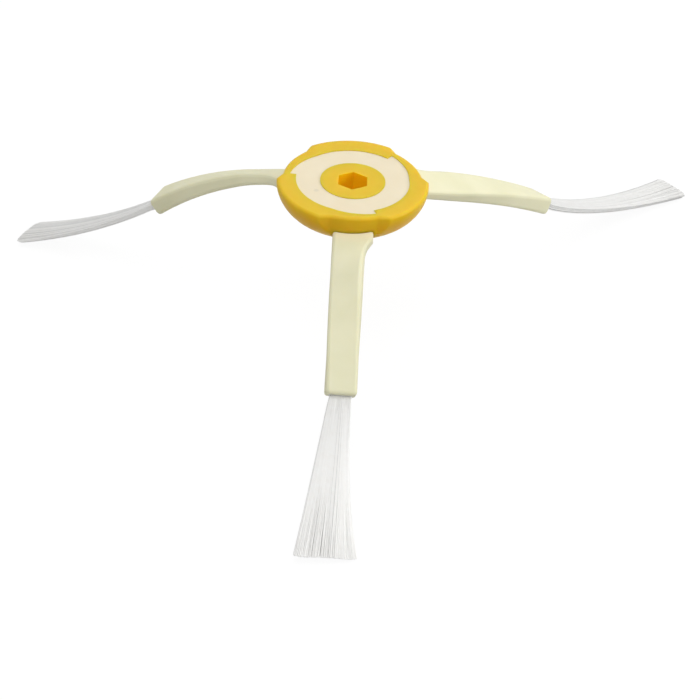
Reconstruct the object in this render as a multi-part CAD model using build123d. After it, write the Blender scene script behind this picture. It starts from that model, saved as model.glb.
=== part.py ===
from build123d import *
from dataclasses import dataclass
from math import asin, cos, degrees, radians, sin, sqrt, tan
import os

# Side brush of a robot vacuum: a hard plastic hub, a soft three-armed spider moulded through it
# in one shot, and a flat tuft of nylon bristles in the end of each arm.
# Millimetres and degrees. The origin is the mouth of the drive socket, +Z runs up the drive axis
# and the front arm points along -Y. Headings turn counterclockwise seen from above.

# Hub: a bowl with a straight band at its rim and a flat foot
RIM_RADIUS = 17.0
RIM_WIDTH = 4.3
RIM_BAND = 1.4
RIM_EDGE = 0.4
HUB_HEIGHT = 10.6
WALL_RADIUS = 8.3
WALL_STEPS = 7
BOTTOM_SLOPE = 28.0

# Notch in the rim above each arm: a round floor between two ramps, a little counterclockwise of the arm
NOTCH_DEPTH = 1.3
NOTCH_FLOOR = 20.0
NOTCH_RAMP = 8.0
NOTCH_TURN = 3.5
NOTCH_CORNER = 0.6

# Boss with the drive socket on top and the fixing screw from below
BOSS_RADIUS = 7.3
SOCKET_ACROSS_FLATS = 6.4
SOCKET_DEPTH = 6.0
SCREW_WEB = 2.0
SCREW_HOLE_RADIUS = 1.8
HEAD_RECESS_RADIUS = 3.6

# Ring of the spider, sunk slightly in its channel, with a saw-tooth lobe over each arm
RING_SINK = 0.2
RING_DEPTH = 6.0
LOBE_HEIGHT = 1.5
LOBE_DEPTH = 1.5
LOBE_START = -20.0
LOBE_STEP = 24.0

# Strap of each arm: its path starts inside the ring
ARM_HOLD = 2.2
ARM_START_DEPTH = 3.8
ARM_LENGTH = 43.6
ARM_START_SLOPE = 13.5
ARM_ROOT_WIDTH = 7.5
ARM_END_WIDTH = 7.1
ARM_ROOT_THICKNESS = 2.1
ARM_END_THICKNESS = 4.0
ARM_CORNER = 0.7
ARM_RUNS = 16
HELD_RUNS = 2

# Pitch of the strap, like a propeller blade: its counterclockwise edge is raised, most at the peak
PEAK_PITCH = 17.5
END_PITCH = -6.0
PITCH_PEAK_AT = 0.35

# Fillets that widen the strap's counterclockwise side and deepen its underside towards the hub
FLARE_RADIUS = 10.5
FLARE_REACH = 5.6
FLARE_END = 11.7
UNDER_RADIUS = 5.0
UNDER_REACH = 2.2
UNDER_END = 8.4

# Rounding of the arm's end
END_ADVANCE = 0.85
END_INSET = 0.5
END_STEPS = 3

# Bristle tufts: strands held in a welded slug inside the arm's end
TUFT_LENGTH = 40.0
TUFT_ROOT_WIDTH = 4.6
TUFT_RUNS = 4
STRAND_SIZE = 0.3
STRANDS_ACROSS = 10
STRAND_LAYERS = 3
LAYER_PITCH = 0.42
SLUG_MARGIN = 0.2
SLUG_LENGTH = 6.0
STRAND_HOLD = 1.0

# Height that cutting tools run past the surfaces they cut
ABOVE = 5.0

RING_RADIUS = RIM_RADIUS - RIM_WIDTH
LOBE_RADIUS = RING_RADIUS + LOBE_HEIGHT
NOTCH_RADIUS = RIM_RADIUS - NOTCH_DEPTH
ARM_START_RADIUS = RING_RADIUS - ARM_HOLD
SLUG_WIDTH = TUFT_ROOT_WIDTH + STRAND_SIZE + 2.0 * SLUG_MARGIN
SLUG_THICKNESS = (STRAND_LAYERS - 1) * LAYER_PITCH + STRAND_SIZE + 2.0 * SLUG_MARGIN


@dataclass
class Arm:
    name: str
    heading: float
    pitch: float
    droop: float
    sweep: float
    lift: float
    turn: float
    fan: float
    lean: float


# Pitch is that of the strap's root. Droop and sweep are the changes of slope and heading along an arm,
# lift and turn those along its tuft. Fan is the tuft's width at the tip over that at the root, and lean
# its sideways shift over the tip's width.
# The arms have taken a set in use: the front one is twisted back at its root, the right one bent back and up.
ARMS = (
    Arm("front", -90.0, -8.0, 33.3, 0.8, 24.0, 0.0, 3.0, -0.115),
    Arm("right", 30.0, 10.5, 18.5, 11.9, 35.0, -2.5, 1.8, -0.13),
    Arm("left", 150.0, 10.5, 28.3, -0.7, 18.7, 4.3, 1.8, 0.0),
)


def direction(heading, slope):
    level = cos(radians(slope))
    return Vector(level * cos(radians(heading)), level * sin(radians(heading)), -sin(radians(slope)))


def stations(start, heading, slope, length, turn, bend, runs):
    """Planes square to a path whose heading and downward slope change evenly along it."""
    planes = []
    point = start
    for index in range(runs + 1):
        share = index / runs
        across = direction(heading + turn * share + 90.0, 0.0)
        along = direction(heading + turn * share, slope + bend * share)
        planes.append(Plane(origin=point, x_dir=across, z_dir=along))
        middle = (index + 0.5) / runs
        point = point + direction(heading + turn * middle, slope + bend * middle) * (length / runs)
    return planes


def arm_stations(arm):
    start = direction(arm.heading, 0.0) * ARM_START_RADIUS - Vector(0.0, 0.0, ARM_START_DEPTH)
    return stations(start, arm.heading, ARM_START_SLOPE, ARM_LENGTH, arm.sweep, arm.droop, ARM_RUNS)


def tuft_stations(arm):
    root = arm_stations(arm)[-1].origin
    heading = arm.heading + arm.sweep
    slope = ARM_START_SLOPE + arm.droop
    return stations(root, heading, slope, TUFT_LENGTH, arm.turn, -arm.lift, TUFT_RUNS)


def fillet_rise(radius, limit, distance):
    """Rise of a circular fillet at a distance inside its start, level beyond the limit."""
    reach = min(max(distance, 0.0), limit)
    return radius - sqrt(radius**2 - reach**2)


def strap_outline(width, thickness):
    """Section of the strap with each corner rounded in two facets."""
    half_width = width / 2.0
    half_height = thickness / 2.0
    facet = ARM_CORNER * (1.0 - sqrt(0.5))
    quarter = (
        (half_width, half_height - ARM_CORNER),
        (half_width - facet, half_height - facet),
        (half_width - ARM_CORNER, half_height),
    )
    points = [(x, y) for x, y in quarter]
    points += [(-x, y) for x, y in reversed(quarter)]
    points += [(-x, -y) for x, y in quarter]
    points += [(x, -y) for x, y in reversed(quarter)]
    return Polygon(*points, align=None)


def pitch_at(arm, share):
    if share < PITCH_PEAK_AT:
        return arm.pitch + (PEAK_PITCH - arm.pitch) * share / PITCH_PEAK_AT
    return PEAK_PITCH + (END_PITCH - PEAK_PITCH) * (share - PITCH_PEAK_AT) / (1.0 - PITCH_PEAK_AT)


def strap(arm):
    """Strap of one arm: straight where the hub holds it, then lofted along its path."""
    sections = []
    for index, plane in enumerate(arm_stations(arm)):
        share = index / ARM_RUNS
        flare = fillet_rise(FLARE_RADIUS, FLARE_REACH, FLARE_END - share * ARM_LENGTH)
        under = fillet_rise(UNDER_RADIUS, UNDER_REACH, UNDER_END - share * ARM_LENGTH)
        width = ARM_ROOT_WIDTH + (ARM_END_WIDTH - ARM_ROOT_WIDTH) * share + flare
        thickness = ARM_ROOT_THICKNESS + (ARM_END_THICKNESS - ARM_ROOT_THICKNESS) * share + under
        turned = Rot(0.0, 0.0, pitch_at(arm, share)) * Pos(flare / 2.0, -under / 2.0)
        sections.append(plane * turned * strap_outline(width, thickness))
    held = sections[HELD_RUNS]
    inward = arm_stations(arm)[HELD_RUNS].z_dir * -1.0
    straight = extrude(held, ARM_LENGTH * HELD_RUNS / ARM_RUNS, dir=inward)
    return loft(sections[HELD_RUNS:]) + straight + rounded_end(plane.location * turned)


def rounded_end(place):
    """Short cap on the strap's last section, drawn in step by step."""
    sections = []
    for step in range(END_STEPS + 1):
        angle = radians(90.0 * step / END_STEPS)
        inset = END_INSET * (1.0 - cos(angle))
        outline = strap_outline(ARM_END_WIDTH - 2.0 * inset, ARM_END_THICKNESS - 2.0 * inset)
        sections.append(place * Pos(0.0, 0.0, END_ADVANCE * sin(angle)) * outline)
    return loft(sections, ruled=True)


def end_plane(arm):
    """Plane of the arm's end face, where the bristles leave it."""
    last = arm_stations(arm)[-1].location * Rot(0.0, 0.0, END_PITCH)
    return Plane(last).offset(END_ADVANCE)


def polar(radius, angle):
    return (radius * cos(radians(angle)), radius * sin(radians(angle)))


def lobe_outline():
    """Saw-tooth lobe of the ring over an arm along +X: a slow climb outward, then a radial step back."""
    root = RING_RADIUS - LOBE_HEIGHT
    start = polar(RING_RADIUS, LOBE_START)
    half_way = polar((RING_RADIUS + LOBE_RADIUS) / 2.0, (LOBE_START + LOBE_STEP) / 2.0)
    crest = polar(LOBE_RADIUS, LOBE_STEP)
    back = Polyline(crest, polar(root, LOBE_STEP), polar(root, LOBE_START), start)
    return make_face(ThreePointArc(start, half_way, crest) + back)


def ring_body(top):
    """Ring and lobes of the spider, or the channel for them, up to the given height."""
    ring = Pos(0.0, 0.0, -RING_DEPTH) * extrude(Circle(RING_RADIUS) - Circle(BOSS_RADIUS), RING_DEPTH + top)
    lobe = Pos(0.0, 0.0, -LOBE_DEPTH) * extrude(lobe_outline(), LOBE_DEPTH + top)
    for arm in ARMS:
        ring += Rot(0.0, 0.0, arm.heading) * lobe
    return ring


def slug(arm):
    place = end_plane(arm).offset(-SLUG_LENGTH / 2.0)
    return place.location * Box(SLUG_WIDTH, SLUG_THICKNESS, SLUG_LENGTH)


def arm_spider():
    spider = ring_body(-RING_SINK)
    for arm in ARMS:
        spider += strap(arm)
        spider -= slug(arm)
    return spider


def notch_outline():
    """Notch for an arm along +X. Its ramps run on past the rim."""
    floor = CenterArc((0.0, 0.0), NOTCH_RADIUS, NOTCH_TURN - NOTCH_FLOOR, 2.0 * NOTCH_FLOOR)
    ramp = NOTCH_FLOOR + NOTCH_RAMP
    ends = []
    for inner, side in ((floor @ 0.0, -1.0), (floor @ 1.0, 1.0)):
        outer = Vector(*polar(RIM_RADIUS, NOTCH_TURN + side * ramp))
        ends.append(outer + (outer - inner))
    return make_face(floor + Polyline(floor @ 1.0, ends[1], (2.0 * RIM_RADIUS, 0.0), ends[0], floor @ 0.0))


def hub_outline():
    """Rim seen from above, with a round-cornered notch over each arm."""
    outline = Circle(RIM_RADIUS)
    for arm in ARMS:
        outline -= Rot(0.0, 0.0, arm.heading) * notch_outline()
    return fillet(outline.vertices(), NOTCH_CORNER)


def bowl():
    """Body of revolution under the rim: a round wall in short cones, then a shallow cone and a flat foot."""
    wall_centre = RIM_RADIUS - sqrt(WALL_RADIUS**2 - RIM_BAND**2)
    band_angle = degrees(asin(RIM_BAND / WALL_RADIUS))
    arc = CenterArc((wall_centre, 0.0), WALL_RADIUS, -band_angle, band_angle + BOTTOM_SLOPE - 90.0)
    wall = [arc @ (step / WALL_STEPS) for step in range(WALL_STEPS + 1)]
    foot_radius = wall[-1].X - (HUB_HEIGHT + wall[-1].Y) / tan(radians(BOTTOM_SLOPE))
    foot = ((foot_radius, -HUB_HEIGHT), (0.0, -HUB_HEIGHT))
    side = RIM_RADIUS + ABOVE
    top = ((0.0, 0.0), (side, 0.0), (side, -RIM_BAND))
    return revolve(Plane.XZ * make_face(Polyline(*wall, *foot, *top, close=True)), Axis.Z)


def socket():
    """Hexagonal drive socket with a corner towards the front arm."""
    corner_radius = SOCKET_ACROSS_FLATS / 2.0 / cos(radians(30.0))
    hexagon = RegularPolygon(corner_radius, 6, rotation=90.0)
    return Pos(0.0, 0.0, -SOCKET_DEPTH) * extrude(hexagon, SOCKET_DEPTH + ABOVE)


def screw_way():
    """Screw hole through the web under the socket, and the recess for the screw's head."""
    web_bottom = SOCKET_DEPTH + SCREW_WEB
    hole = Pos(0.0, 0.0, -web_bottom - ABOVE) * extrude(Circle(SCREW_HOLE_RADIUS), web_bottom + ABOVE)
    recess = Pos(0.0, 0.0, -web_bottom - ABOVE) * extrude(Circle(HEAD_RECESS_RADIUS), ABOVE)
    return hole + recess


def hub(spider):
    body = Pos(0.0, 0.0, -HUB_HEIGHT) * extrude(hub_outline(), HUB_HEIGHT) & bowl()
    top_edges = body.edges().group_by(Axis.Z)[-1]
    body = chamfer(top_edges, RIM_EDGE)
    body -= ring_body(ABOVE)
    body -= spider
    body -= socket()
    body -= screw_way()
    return body


def strand_path(arm, side, layer):
    """Points along one strand: side runs from -1 to 1 over the fan, layer counts from its middle."""
    height = layer * LAYER_PITCH
    root_side = side * TUFT_ROOT_WIDTH / 2.0
    root = end_plane(arm)
    points = [root.from_local_coords(Vector(root_side, height, -STRAND_HOLD))]
    tip_side = (side / 2.0 + arm.lean) * arm.fan * TUFT_ROOT_WIDTH
    for index, plane in enumerate(tuft_stations(arm)[1:], start=1):
        share = index / TUFT_RUNS
        place = Vector(root_side + (tip_side - root_side) * share, height, 0.0)
        points.append(plane.from_local_coords(place))
    return points


def strand(arm, side, layer):
    """Square bristle as a chain of slanted prisms, with all sections parallel to the tuft's middle one."""
    middle = tuft_stations(arm)[TUFT_RUNS // 2]
    half = STRAND_SIZE / 2.0
    across = middle.x_dir * half
    up = middle.y_dir * half
    corners = (across + up, up - across, -across - up, across - up)
    rings = [[point + corner for corner in corners] for point in strand_path(arm, side, layer)]
    faces = [Face(Wire.make_polygon(rings[0])), Face(Wire.make_polygon(rings[-1]))]
    for near, far in zip(rings, rings[1:]):
        for first, second in ((0, 1), (1, 2), (2, 3), (3, 0)):
            faces.append(Face(Wire.make_polygon([near[first], near[second], far[second], far[first]])))
    return Solid(Shell(faces))


def bristle_tuft(arm):
    strands = []
    for layer in range(STRAND_LAYERS):
        for place in range(STRANDS_ACROSS):
            side = 2.0 * place / (STRANDS_ACROSS - 1) - 1.0
            strands.append(strand(arm, side, layer - (STRAND_LAYERS - 1) / 2.0))
    return slug(arm) + strands


def main():
    os.makedirs("parts", exist_ok=True)
    spider = arm_spider()
    export_step(spider, "parts/arm_spider.step")
    export_step(hub(spider), "parts/hub.step")
    for arm in ARMS:
        export_step(bristle_tuft(arm), f"parts/bristle_tuft_{arm.name}.step")


main()
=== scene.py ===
"""Looks of the robot vacuum's side brush.

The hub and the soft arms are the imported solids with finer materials. Each bristle tuft is rebuilt strand by
strand in the place of its plain solid. Lengths are millimetres and angles degrees until they reach the mesh.
"""

import math
import random
from dataclasses import dataclass

import bpy
from mathutils import Matrix, Vector


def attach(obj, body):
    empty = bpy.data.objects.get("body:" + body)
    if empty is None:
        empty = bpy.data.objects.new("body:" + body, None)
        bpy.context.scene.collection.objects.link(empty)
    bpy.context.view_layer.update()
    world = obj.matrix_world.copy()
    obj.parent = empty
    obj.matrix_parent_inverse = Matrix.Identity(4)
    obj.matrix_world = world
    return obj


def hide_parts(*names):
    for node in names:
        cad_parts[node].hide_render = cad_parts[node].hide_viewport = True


MM = 0.001

# Path of each arm, as in the solids: it starts inside the ring and bends evenly
ARM_START_RADIUS = 10.5
ARM_START_DEPTH = 3.8
ARM_START_SLOPE = 13.5
ARM_LENGTH = 43.6
PATH_RUNS = 24

# End face of each arm: how far it stands past the path, and its turn about it
END_ADVANCE = 0.85
END_PITCH = -6.0

# Bundle of bristles at the arm's end and at its tip, where it thins towards both edges by the taper
TUFT_LENGTH = 40.0
TUFT_ROOT_WIDTH = 4.7
TUFT_ROOT_THICKNESS = 1.3
TUFT_TIP_THICKNESS = 1.7
TIP_TAPER = 0.7

# Welded block of bristle ends in the arm's pocket
SLUG_WIDTH = 5.3
SLUG_THICKNESS = 1.54
SLUG_LENGTH = 6.0

# Tube of one strand, with the length that the arm holds and the angle from which its edges stay sharp
STRAND_RADIUS = 0.085
STRAND_SIDES = 6
STRAND_RUNS = 14
STRAND_HOLD = 1.2
SHARP_ANGLE = 75.0

# Strands in the upper and lower row for each root width of the tip, along each edge, and in between
TOP_STRANDS = 38
UNDER_STRANDS = 18
EDGE_STRANDS = 15
INNER_STRANDS = 30

# Levels of the rows and sides of the edges, in a bundle from -1 to 1, and the range of chance in each place
SURFACE_LEVEL = 0.9
EDGE_SIDE = 0.93
PLACE_CHANCE = (0.2, 0.8)

# Strand lengths: what the top row has more than the tuft, what lower levels have less, and the chance in it.
# The outermost strands lose a share of the tuft's length, which falls off fast towards the middle.
LENGTH_EXTRA = 0.6
LENGTH_STEP = 0.7
LENGTH_SPREAD = 0.1
CORNER_SHARE = 0.015
CORNER_POWER = 8

# Unevenness of single strands: the level of the tip, and a sway to the side that turns by an angle in radians
LEVEL_SPREAD = 0.08
WAVE = 0.1
WAVE_ANGLE = 3.0

# Whiteness of the strands painted grey as shade along the edges and elsewhere, of the white strands and of
# the slug
EDGE_SHADE_TONES = (0.0, 0.5)
MIDDLE_SHADE_TONES = (0.45, 0.75)
WHITE_TONES = (0.85, 1.0)
SLUG_TONE = 1.0

# Camera of the photograph: elevation, roll and scale about the hub's top, in pixels of its 700 pixel frame
PHOTO_SIZE = 700
PHOTO_HUB = (352.8, 180.7)
PHOTO_SCALE = 4.485
CAMERA_ELEVATION = 32.8
CAMERA_ROLL = 3.58
CAMERA_DISTANCE = 6500.0
CLIP_DISTANCE = 10.0 * CAMERA_DISTANCE
SENSOR = 36.0

# Floor: its gap under the tips, half of its side, and its own grey and roughness
FLOOR_GAP = 0.3
FLOOR_HALF = 3000.0
FLOOR_GREY = 0.6
FLOOR_ROUGHNESS = 0.9

# Share of plain white in what the camera sees of the floor, and how strong it is; the rest keeps the shadow
FLOOR_WHITE = 0.85
FLOOR_STRENGTH = 1.1

# Strength of the studio's light on the surfaces, and of its white for the camera and in reflections
STUDIO_LIGHT = 0.4
STUDIO_WHITE = 1.0

# Colour of each surface, as the darker and the lighter tone of its mottle, from 0 to 255
TOP_YELLOW = ((227, 188, 14), (233, 195, 24))
# The dome's more orange yellow is painted shade: the warmer colour the plastic shows in shade
DOME_SHADE_YELLOW = ((230, 177, 8), (236, 184, 14))
# The socket's brighter, deeper yellow is a painted glow of light bounced about inside it
SOCKET_GLOW_YELLOW = ((252, 200, 6), (255, 206, 10))
STRAP_IVORY = ((232, 229, 193), (238, 235, 202))
RING_IVORY = ((236, 222, 191), (240, 228, 200))
GATE_IVORY = ((222, 211, 184), (228, 217, 192))
# Grey painted on some strands as shade
SHADE_GREY_NYLON = ((182, 182, 181), (192, 192, 191))
WHITE_NYLON = ((253, 252, 249), (255, 255, 253))

# Noise patterns: their scale and steps of finer detail, and the range of noise over which a surface changes
HUB_MOTTLE = (160.0, 3.0)
HUB_GLOSS = (420.0, 2.0)
HUB_GRAIN = (5200.0, 2.0)
ARM_MOTTLE = (120.0, 4.0)
ARM_GLOSS = (300.0, 2.0)
ARM_GRAIN = (3600.0, 3.0)
NYLON_STREAK = (900.0, 2.0)
PATTERN_RANGE = (0.3, 0.7)

# Roughness at both ends of each gloss pattern, and strength and height of each grain's relief
HUB_ROUGHNESS = (0.42, 0.52)
ARM_ROUGHNESS = (0.55, 0.66)
HUB_RELIEF = (0.12, 0.02)
ARM_RELIEF = (0.15, 0.02)

# Values that are the same all over each material
HUB_SHADER = {
    "IOR": 1.5,
    "Specular IOR Level": 0.3,
    "Subsurface Weight": 0.9,
    "Subsurface Radius": (1.0, 0.5, 0.05),
    "Subsurface Scale": 2.5 * MM,
}
ARM_SHADER = {
    "IOR": 1.48,
    "Subsurface Weight": 0.2,
    "Subsurface Radius": (1.0, 0.85, 0.5),
    "Subsurface Scale": 1.2 * MM,
}
NYLON_SHADER = {
    "Roughness": 0.35,
    "IOR": 1.53,
    "Sheen Weight": 0.5,
    "Sheen Roughness": 0.4,
}

# Mark of the mould's gate on the ring, with the radii of its soft border
GATE_MARK = (-7.97, -4.61, -0.2)
GATE_RADII = (0.3, 0.75)

# Ball about the drive socket with a painted glow in a brighter, deeper yellow, and the radii of its soft
# border
SOCKET_MIDDLE = (0.0, 0.0, -3.5)
SOCKET_GLOW_RADII = (4.4, 5.2)

# Point far above the hub, and the distances from it between which the top's tone passes into the dome's
# painted shade
ABOVE_HUB = (0.0, 0.0, 1000.0)
DOME_SHADE_DEPTHS = (1001.0, 1003.5)

# Middle of the hub, and the radii between which the warmer tone of the ring passes into that of the straps
HUB_MIDDLE = (0.0, 0.0, 0.0)
RING_TONE = (14.0, 19.0)

# Radii between which fine edges pass into soft ones, how round each look, and the rays that tell an edge
HUB_EDGE_RADII = (14.2, 15.5)
HUB_EDGES = (0.03, 1.0)
ARM_EDGE_RADII = (14.5, 18.0)
ARM_EDGES = (0.03, 0.35)
EDGE_RAYS = 8

# Numbers of the mix node's sockets for colours
MIX_FIRST = 6
MIX_SECOND = 7
MIX_RESULT = 2


@dataclass
class Arm:
    """One arm with its tuft, bent its own way.

    Droop and sweep are the changes of downward slope and heading along the arm. Lift is how much of the slope
    the tuft takes back, and turn its change of heading. Fan is the tip's width in root widths, and lean its
    shift counterclockwise in tip widths. Curl tells how late the strands of the counterclockwise side spread,
    or with a minus sign those of the clockwise side. Slant tells how much longer the clockwise edge is, or
    with a minus sign the other one. Clear holds the shares of strands painted grey as shade along the
    clockwise edge, in the middle and along the other edge.
    """

    name: str
    heading: float
    droop: float
    sweep: float
    lift: float
    turn: float
    fan: float
    lean: float
    curl: float
    slant: float
    clear: tuple


# clear: shares of strands painted grey as shade, along the front tuft's clockwise edge and over most of the
# left and right tufts
ARMS = (
    Arm("front", heading=-90.0, droop=33.3, sweep=0.8, lift=24.0, turn=0.0,
        fan=3.0, lean=-0.115, curl=1.6, slant=0.0, clear=(0.45, 0.08, 0.05)),
    Arm("right", heading=30.0, droop=18.5, sweep=11.9, lift=35.0, turn=-2.5,
        fan=1.8, lean=-0.13, curl=-2.2, slant=0.9, clear=(0.3, 1.0, 0.8)),
    Arm("left", heading=150.0, droop=28.3, sweep=-0.7, lift=18.7, turn=4.3,
        fan=1.95, lean=-0.05, curl=0.0, slant=-1.0, clear=(0.5, 0.7, 0.0)),
)


@dataclass
class Lamp:
    """Round lamp turned to the hub, with its place and size in metres and its power in watts."""

    name: str
    place: tuple
    size: float
    power: float


LAMPS = (
    Lamp("key", place=(0.3, 0.8, 0.95), size=0.25, power=2.0),
    Lamp("side", place=(1.1, -0.05, 0.5), size=0.5, power=5.0),
    Lamp("front", place=(-0.1, -0.4, 1.25), size=1.2, power=8.0),
)


def direction(heading, slope):
    """Unit vector of a heading about the drive axis and a downward slope."""
    level = math.cos(math.radians(slope))
    turned = math.radians(heading)
    return Vector((level * math.cos(turned), level * math.sin(turned), -math.sin(math.radians(slope))))


def stations(start, heading, slope, length, turn, bend, runs):
    """Point, across, up and along at even steps of a path whose heading and downward slope change evenly."""
    places = []
    point = start
    for index in range(runs + 1):
        share = index / runs
        across = direction(heading + turn * share + 90.0, 0.0)
        along = direction(heading + turn * share, slope + bend * share)
        places.append((point.copy(), across, along.cross(across), along))
        middle = (index + 0.5) / runs
        point = point + direction(heading + turn * middle, slope + bend * middle) * (length / runs)
    return places


def arm_end(arm):
    """Point, across, up and along at the end of an arm's path."""
    start = direction(arm.heading, 0.0) * ARM_START_RADIUS - Vector((0.0, 0.0, ARM_START_DEPTH))
    return stations(start, arm.heading, ARM_START_SLOPE, ARM_LENGTH, arm.sweep, arm.droop, PATH_RUNS)[-1]


def tuft_path(arm):
    """Stations along the middle of a tuft, from the arm's end to the tip."""
    root = arm_end(arm)[0]
    slope = ARM_START_SLOPE + arm.droop
    return stations(root, arm.heading + arm.sweep, slope, TUFT_LENGTH, arm.turn, -arm.lift, STRAND_RUNS)


def end_frame(arm):
    """Point, across, up and along at the arm's end face, turned with the strap's pitch."""
    point, across, up, along = arm_end(arm)
    turn = Matrix.Rotation(math.radians(END_PITCH), 3, along)
    return point + along * END_ADVANCE, turn @ across, turn @ up, along


def path_frame(path, share):
    """Point, across and up at a share of a tuft's path, which may lie slightly past its end."""
    low = min(int(share * STRAND_RUNS), STRAND_RUNS - 1)
    mix = share * STRAND_RUNS - low
    return [first.lerp(second, mix) for first, second in zip(path[low][:3], path[low + 1][:3])]


def strand_length(arm, side, level, chance):
    """Length of one bristle past the arm's path, as a share of the tuft's length."""
    longer = chance.uniform(-LENGTH_SPREAD, LENGTH_SPREAD) + LENGTH_STEP * (level - SURFACE_LEVEL)
    longer += max(0.0, -arm.slant * side)
    return 1.0 + (longer + LENGTH_EXTRA) / TUFT_LENGTH - CORNER_SHARE * side**CORNER_POWER


def strand_points(arm, side, level, chance):
    """Centre line of one bristle: side and level run from -1 to 1 across the bundle's width and thickness."""
    point, across, up, along = end_frame(arm)
    root_side = side * TUFT_ROOT_WIDTH / 2.0
    root_level = level * TUFT_ROOT_THICKNESS / 2.0
    base = point + across * root_side + up * root_level
    points = [base - along * STRAND_HOLD, base]
    tip_side = (side / 2.0 + arm.lean) * arm.fan * TUFT_ROOT_WIDTH
    tip_thickness = TUFT_TIP_THICKNESS * (1.0 - TIP_TAPER * side**2)
    tip_level = (level + chance.uniform(-LEVEL_SPREAD, LEVEL_SPREAD)) * tip_thickness / 2.0
    late = 1.0 + max(0.0, arm.curl * side)
    length = strand_length(arm, side, level, chance)
    wave = chance.uniform(-WAVE, WAVE)
    phase = chance.uniform(0.0, 2.0 * math.pi)
    path = tuft_path(arm)
    for index in range(1, STRAND_RUNS + 1):
        share = index / STRAND_RUNS * length
        spot, sideways, upwards = path_frame(path, share)
        sway = wave * math.sin(phase + WAVE_ANGLE * share) * share
        offset = root_side + (tip_side - root_side) * share**late + sway
        height = root_level + (tip_level - root_level) * share
        points.append(spot + sideways * offset + upwards * height)
    return points


def add_tube(vertices, faces, points, across):
    """Closed tube of a strand's thickness along a line of points."""
    start = len(vertices)
    for index, point in enumerate(points):
        before = points[max(index - 1, 0)]
        after = points[min(index + 1, len(points) - 1)]
        along = (after - before).normalized()
        side = (across - along * across.dot(along)).normalized()
        up = along.cross(side)
        for corner in range(STRAND_SIDES):
            angle = 2.0 * math.pi * corner / STRAND_SIDES
            ring = side * math.cos(angle) + up * math.sin(angle)
            vertices.append((point + ring * STRAND_RADIUS) * MM)
    for run in range(len(points) - 1):
        for corner in range(STRAND_SIDES):
            first = start + run * STRAND_SIDES + corner
            second = start + run * STRAND_SIDES + (corner + 1) % STRAND_SIDES
            faces.append((first, second, second + STRAND_SIDES, first + STRAND_SIDES))
    last = start + (len(points) - 1) * STRAND_SIDES
    faces.append(tuple(start + corner for corner in reversed(range(STRAND_SIDES))))
    faces.append(tuple(last + corner for corner in range(STRAND_SIDES)))


def add_slug(vertices, faces, arm):
    """Welded block of bristle ends that fills the pocket in the arm's end."""
    start = len(vertices)
    point, across, up, along = end_frame(arm)
    for back in (SLUG_LENGTH, 0.0):
        for side, level in ((-1, -1), (1, -1), (1, 1), (-1, 1)):
            corner = across * (side * SLUG_WIDTH / 2.0) + up * (level * SLUG_THICKNESS / 2.0)
            vertices.append((point - along * back + corner) * MM)
    for face in ((3, 2, 1, 0), (4, 5, 6, 7), (0, 1, 5, 4), (1, 2, 6, 5), (2, 3, 7, 6), (3, 0, 4, 7)):
        faces.append(tuple(start + corner for corner in face))


def scattered(count, chance):
    """Places from -1 to 1, one by chance in each of as many even parts."""
    return [2.0 * (part + chance.uniform(*PLACE_CHANCE)) / count - 1.0 for part in range(count)]


def strand_places(arm, chance):
    """Side and level of every strand: closed rows above and below, closed edges and a loose filling."""
    places = []
    for strands, level in ((TOP_STRANDS, SURFACE_LEVEL), (UNDER_STRANDS, -SURFACE_LEVEL)):
        places += [(side, level) for side in scattered(round(strands * arm.fan), chance)]
    for edge in (-1.0, 1.0):
        for level in scattered(EDGE_STRANDS, chance):
            places.append((edge * (1.0 - (1.0 - EDGE_SIDE) * level**2), SURFACE_LEVEL * level))
    for _ in range(INNER_STRANDS):
        places.append((chance.uniform(-EDGE_SIDE, EDGE_SIDE), chance.uniform(-SURFACE_LEVEL, SURFACE_LEVEL)))
    return places


def strand_tone(arm, side, chance):
    """Whiteness of a strand, from zero for the grey ones painted as shade to one for those that scatter light
    well.
    """
    clockwise, share, other = arm.clear
    shade_tones = MIDDLE_SHADE_TONES
    if abs(side) > EDGE_SIDE:
        share = clockwise if side < 0.0 else other
        shade_tones = EDGE_SHADE_TONES
    if chance.random() < share:
        return chance.uniform(*shade_tones)
    return chance.uniform(*WHITE_TONES)


def bristle_tuft(arm, material):
    """Tuft of single strands on its slug, in the place of the plain solid."""
    chance = random.Random(arm.name)
    vertices, faces = [], []
    add_slug(vertices, faces, arm)
    across = end_frame(arm)[1]
    tones = [SLUG_TONE] * len(vertices)
    for side, level in strand_places(arm, chance):
        add_tube(vertices, faces, strand_points(arm, side, level, chance), across)
        tones += [strand_tone(arm, side, chance)] * (len(vertices) - len(tones))
    mesh = bpy.data.meshes.new(f"bristles_{arm.name}")
    mesh.from_pydata(vertices, [], faces)
    mesh.polygons.foreach_set("use_smooth", [True] * len(mesh.polygons))
    mesh.set_sharp_from_angle(angle=math.radians(SHARP_ANGLE))
    mesh.attributes.new("tone", "FLOAT", "POINT").data.foreach_set("value", tones)
    mesh.materials.append(material)
    mesh.update()
    tuft = bpy.data.objects.new(f"bristles_{arm.name}", mesh)
    bpy.context.scene.collection.objects.link(tuft)
    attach(tuft, "root")
    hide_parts(f"bristle_tuft_{arm.name}")


def linear(red, green, blue):
    """Linear colour from the 0 to 255 values of a picture."""
    shares = [value / 255.0 for value in (red, green, blue)]
    curved = [((share + 0.055) / 1.055) ** 2.4 if share > 0.04045 else share / 12.92 for share in shares]
    return (*curved, 1.0)


def grey(value):
    """Linear grey of a value from 0 to 1."""
    return (value, value, value, 1.0)


def new_material(name, values):
    """Material with its nodes, their links and its shader, on which the given values are set."""
    material = bpy.data.materials.new(name)
    material.use_nodes = True
    nodes = material.node_tree.nodes
    shader = nodes["Principled BSDF"]
    for socket, value in values.items():
        shader.inputs[socket].default_value = value
    return material, nodes, material.node_tree.links, shader


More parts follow.
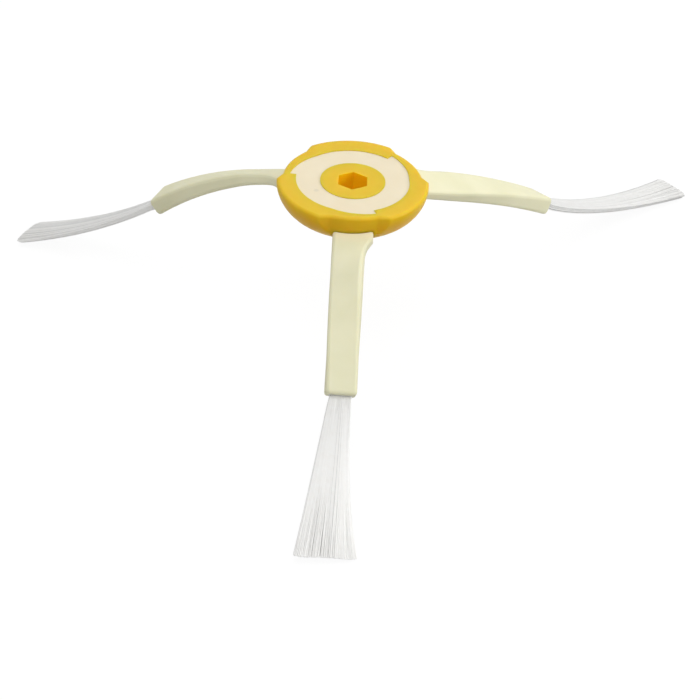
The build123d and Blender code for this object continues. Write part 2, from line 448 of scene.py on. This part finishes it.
def noise(nodes, links, coordinates, pattern):
    """Noise of a pattern's scale and detail."""
    scale, detail = pattern
    texture = nodes.new("ShaderNodeTexNoise")
    texture.inputs["Scale"].default_value = scale
    texture.inputs["Detail"].default_value = detail
    links.new(coordinates, texture.inputs["Vector"])
    return texture.outputs["Fac"]


def ramp(nodes, links, value, ends):
    """Colours from the first end to the second over the range of a noise pattern."""
    node = nodes.new("ShaderNodeValToRGB")
    for element, position, colour in zip(node.color_ramp.elements, PATTERN_RANGE, ends):
        element.position = position
        element.color = colour
    links.new(value, node.inputs["Fac"])
    return node.outputs["Color"]


def mottled(nodes, links, value, tones):
    """Colour that varies between a darker and a lighter tone."""
    return ramp(nodes, links, value, [linear(*tone) for tone in tones])


def relief(nodes, links, height, size, edge, shader):
    """Fine surface relief of a strength and height, over edges that look rounded to the given radius."""
    strength, distance = size
    soft = nodes.new("ShaderNodeBevel")
    soft.samples = EDGE_RAYS
    links.new(edge, soft.inputs["Radius"])
    node = nodes.new("ShaderNodeBump")
    node.inputs["Strength"].default_value = strength
    node.inputs["Distance"].default_value = distance * MM
    links.new(height, node.inputs["Height"])
    links.new(soft.outputs["Normal"], node.inputs["Normal"])
    links.new(node.outputs["Normal"], shader.inputs["Normal"])


def by_distance(nodes, links, coordinates, centre, radii, values):
    """First value inside the first radius about a centre, passing evenly into the second at the second."""
    distance = nodes.new("ShaderNodeVectorMath")
    distance.operation = "DISTANCE"
    distance.inputs[1].default_value = Vector(centre) * MM
    links.new(coordinates, distance.inputs[0])
    share = nodes.new("ShaderNodeMapRange")
    share.inputs["From Min"].default_value = radii[0] * MM
    share.inputs["From Max"].default_value = radii[1] * MM
    share.inputs["To Min"].default_value = values[0]
    share.inputs["To Max"].default_value = values[1]
    links.new(distance.outputs["Value"], share.inputs["Value"])
    return share.outputs["Result"]


def blend(nodes, links, share, first, second):
    """First colour where the share is zero, and the second where it is one."""
    mix = nodes.new("ShaderNodeMix")
    mix.data_type = "RGBA"
    links.new(share, mix.inputs["Factor"])
    links.new(first, mix.inputs[MIX_FIRST])
    links.new(second, mix.inputs[MIX_SECOND])
    return mix.outputs[MIX_RESULT]


def hub_plastic():
    """Satin yellow moulded plastic with a faint mottle and a fine spark-eroded grain."""
    material, nodes, links, shader = new_material("yellow_plastic", HUB_SHADER)
    place = nodes.new("ShaderNodeTexCoord").outputs["Object"]
    mottle = noise(nodes, links, place, HUB_MOTTLE)
    # Below the top the yellow passes into the dome's more orange copy of it, which is painted shade
    top = mottled(nodes, links, mottle, TOP_YELLOW)
    dome_shade = mottled(nodes, links, mottle, DOME_SHADE_YELLOW)
    low = by_distance(nodes, links, place, ABOVE_HUB, DOME_SHADE_DEPTHS, (0.0, 1.0))
    body = blend(nodes, links, low, top, dome_shade)
    # Painted glow: a brighter, deeper yellow inside the drive socket stands in for light bounced about in it
    painted_glow = mottled(nodes, links, mottle, SOCKET_GLOW_YELLOW)
    socket = by_distance(nodes, links, place, SOCKET_MIDDLE, SOCKET_GLOW_RADII, (1.0, 0.0))
    links.new(blend(nodes, links, socket, body, painted_glow), shader.inputs["Base Color"])
    patches = noise(nodes, links, place, HUB_GLOSS)
    gloss = ramp(nodes, links, patches, [grey(roughness) for roughness in HUB_ROUGHNESS])
    links.new(gloss, shader.inputs["Roughness"])
    edge = by_distance(nodes, links, place, HUB_MIDDLE, HUB_EDGE_RADII, [size * MM for size in HUB_EDGES])
    relief(nodes, links, noise(nodes, links, place, HUB_GRAIN), HUB_RELIEF, edge, shader)
    return material


def arm_rubber():
    """Matt ivory elastomer: soft, slightly translucent, with a faint gate mark on the ring."""
    material, nodes, links, shader = new_material("ivory_elastomer", ARM_SHADER)
    place = nodes.new("ShaderNodeTexCoord").outputs["Object"]
    mottle = noise(nodes, links, place, ARM_MOTTLE)
    straps = mottled(nodes, links, mottle, STRAP_IVORY)
    ring = mottled(nodes, links, mottle, RING_IVORY)
    inside = by_distance(nodes, links, place, HUB_MIDDLE, RING_TONE, (1.0, 0.0))
    body = blend(nodes, links, inside, straps, ring)
    mark = mottled(nodes, links, mottle, GATE_IVORY)
    spot = by_distance(nodes, links, place, GATE_MARK, GATE_RADII, (1.0, 0.0))
    links.new(blend(nodes, links, spot, body, mark), shader.inputs["Base Color"])
    patches = noise(nodes, links, place, ARM_GLOSS)
    gloss = ramp(nodes, links, patches, [grey(roughness) for roughness in ARM_ROUGHNESS])
    links.new(gloss, shader.inputs["Roughness"])
    edge = by_distance(nodes, links, place, HUB_MIDDLE, ARM_EDGE_RADII, [size * MM for size in ARM_EDGES])
    relief(nodes, links, noise(nodes, links, place, ARM_GRAIN), ARM_RELIEF, edge, shader)
    return material


def bristle_nylon():
    """White nylon monofilament, painted grey as shade in the strands of a low tone."""
    material, nodes, links, shader = new_material("white_nylon", NYLON_SHADER)
    place = nodes.new("ShaderNodeTexCoord").outputs["Object"]
    streak = noise(nodes, links, place, NYLON_STREAK)
    # Grey painted as shade on the strands of a low tone
    clear = mottled(nodes, links, streak, SHADE_GREY_NYLON)
    white = mottled(nodes, links, streak, WHITE_NYLON)
    tone = nodes.new("ShaderNodeAttribute")
    tone.attribute_name = "tone"
    links.new(blend(nodes, links, tone.outputs["Fac"], clear, white), shader.inputs["Base Color"])
    return material


def dress(piece, material):
    """Gives a solid of the frame its finer material."""
    piece.data.materials.clear()
    piece.data.materials.append(material)


def photo_axes():
    """Right, down and into-the-picture directions of the photograph's camera."""
    lift = math.radians(CAMERA_ELEVATION)
    roll = math.radians(CAMERA_ROLL)
    level = Vector((1.0, 0.0, 0.0))
    fall = Vector((0.0, -math.sin(lift), -math.cos(lift)))
    right = level * math.cos(roll) - fall * math.sin(roll)
    down = level * math.sin(roll) + fall * math.cos(roll)
    return right, down, right.cross(down)


def add_camera():
    """Camera that sees the hub's top at its place in the photograph."""
    right, down, into = photo_axes()
    middle = PHOTO_SIZE / 2.0
    target = right * ((middle - PHOTO_HUB[0]) / PHOTO_SCALE) + down * ((middle - PHOTO_HUB[1]) / PHOTO_SCALE)
    data = bpy.data.cameras.new("camera")
    data.sensor_width = SENSOR
    data.lens = PHOTO_SCALE * SENSOR * CAMERA_DISTANCE / PHOTO_SIZE
    data.clip_end = CLIP_DISTANCE * MM
    camera = bpy.data.objects.new("camera", data)
    bpy.context.scene.collection.objects.link(camera)
    turn = Matrix((right, -down, -into)).transposed().to_4x4()
    camera.matrix_world = Matrix.Translation((target - into * CAMERA_DISTANCE) * MM) @ turn
    bpy.context.scene.camera = camera


def seen_rays(nodes, links):
    """One for what the camera sees directly, in a reflection or through a clear body."""
    path = nodes.new("ShaderNodeLightPath")
    seen = path.outputs["Is Camera Ray"]
    for ray in ("Is Glossy Ray", "Is Transmission Ray"):
        either = nodes.new("ShaderNodeMath")
        either.operation = "MAXIMUM"
        links.new(seen, either.inputs[0])
        links.new(path.outputs[ray], either.inputs[1])
        seen = either.outputs["Value"]
    return seen


def mix_shaders(nodes, links, share, first, second, output):
    """Sends the first shader to an output, with the second over it by the given share."""
    mix = nodes.new("ShaderNodeMixShader")
    links.new(share, mix.inputs["Fac"])
    links.new(first, mix.inputs[1])
    links.new(second, mix.inputs[2])
    links.new(mix.outputs["Shader"], nodes[output].inputs["Surface"])


def floor_paint():
    """Matt grey that is mostly white to the camera and keeps some of the shadow."""
    values = {"Base Color": grey(FLOOR_GREY), "Roughness": FLOOR_ROUGHNESS, "Specular IOR Level": 0.0}
    material, nodes, links, shader = new_material("floor", values)
    white = nodes.new("ShaderNodeEmission")
    white.inputs["Color"].default_value = grey(1.0)
    white.inputs["Strength"].default_value = FLOOR_STRENGTH
    share = nodes.new("ShaderNodeMath")
    share.operation = "MULTIPLY"
    share.inputs[1].default_value = FLOOR_WHITE
    links.new(seen_rays(nodes, links), share.inputs[0])
    surface = shader.outputs["BSDF"]
    mix_shaders(nodes, links, share.outputs["Value"], surface, white.outputs["Emission"], "Material Output")
    return material


def tuft_tip(arm):
    """Lowest point of a tuft's tip, over the floor."""
    point, _, up, _ = tuft_path(arm)[-1]
    return point - up * (TUFT_TIP_THICKNESS / 2.0)


def add_floor():
    """Pale floor close under the tips of the three tufts."""
    tips = [tuft_tip(arm) for arm in ARMS]
    normal = (tips[1] - tips[0]).cross(tips[2] - tips[0]).normalized()
    if normal.z < 0.0:
        normal = -normal
    middle = (tips[0] + tips[1] + tips[2]) / 3.0 - normal * FLOOR_GAP
    half = FLOOR_HALF * MM
    corners = [(-half, -half, 0.0), (half, -half, 0.0), (half, half, 0.0), (-half, half, 0.0)]
    mesh = bpy.data.meshes.new("floor")
    mesh.from_pydata(corners, [], [(0, 1, 2, 3)])
    mesh.materials.append(floor_paint())
    floor = bpy.data.objects.new("floor", mesh)
    floor.matrix_world = Matrix.Translation(middle * MM) @ normal.to_track_quat("Z", "Y").to_matrix().to_4x4()
    bpy.context.scene.collection.objects.link(floor)


def add_world():
    """Soft white studio: dim to the surfaces, white to the camera and in reflections."""
    world = bpy.data.worlds.new("studio")
    bpy.context.scene.world = world
    world.use_nodes = True
    nodes = world.node_tree.nodes
    links = world.node_tree.links
    soft = nodes["Background"]
    white = nodes.new("ShaderNodeBackground")
    for light, strength in ((soft, STUDIO_LIGHT), (white, STUDIO_WHITE)):
        light.inputs["Color"].default_value = grey(1.0)
        light.inputs["Strength"].default_value = strength
    seen = seen_rays(nodes, links)
    mix_shaders(nodes, links, seen, soft.outputs["Background"], white.outputs["Background"], "World Output")


def add_lamp(lamp):
    """Soft round lamp that shines at the hub."""
    data = bpy.data.lights.new(lamp.name, "AREA")
    data.shape = "DISK"
    data.size = lamp.size
    data.energy = lamp.power
    light = bpy.data.objects.new(lamp.name, data)
    light.location = lamp.place
    light.rotation_mode = "QUATERNION"
    light.rotation_quaternion = (-Vector(lamp.place)).to_track_quat("-Z", "Y")
    bpy.context.scene.collection.objects.link(light)


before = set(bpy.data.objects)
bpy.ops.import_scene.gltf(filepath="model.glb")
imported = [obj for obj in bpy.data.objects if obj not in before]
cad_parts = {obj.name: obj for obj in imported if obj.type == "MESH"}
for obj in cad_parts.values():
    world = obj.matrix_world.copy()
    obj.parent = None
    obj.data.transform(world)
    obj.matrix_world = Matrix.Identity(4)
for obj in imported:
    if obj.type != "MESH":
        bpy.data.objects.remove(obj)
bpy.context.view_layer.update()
dress(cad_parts["hub"], hub_plastic())
dress(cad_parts["arm_spider"], arm_rubber())
nylon = bristle_nylon()
for brush_arm in ARMS:
    bristle_tuft(brush_arm, nylon)
add_camera()
add_floor()
add_world()
for studio_lamp in LAMPS:
    add_lamp(studio_lamp)
bpy.context.scene.view_settings.view_transform = "Standard"
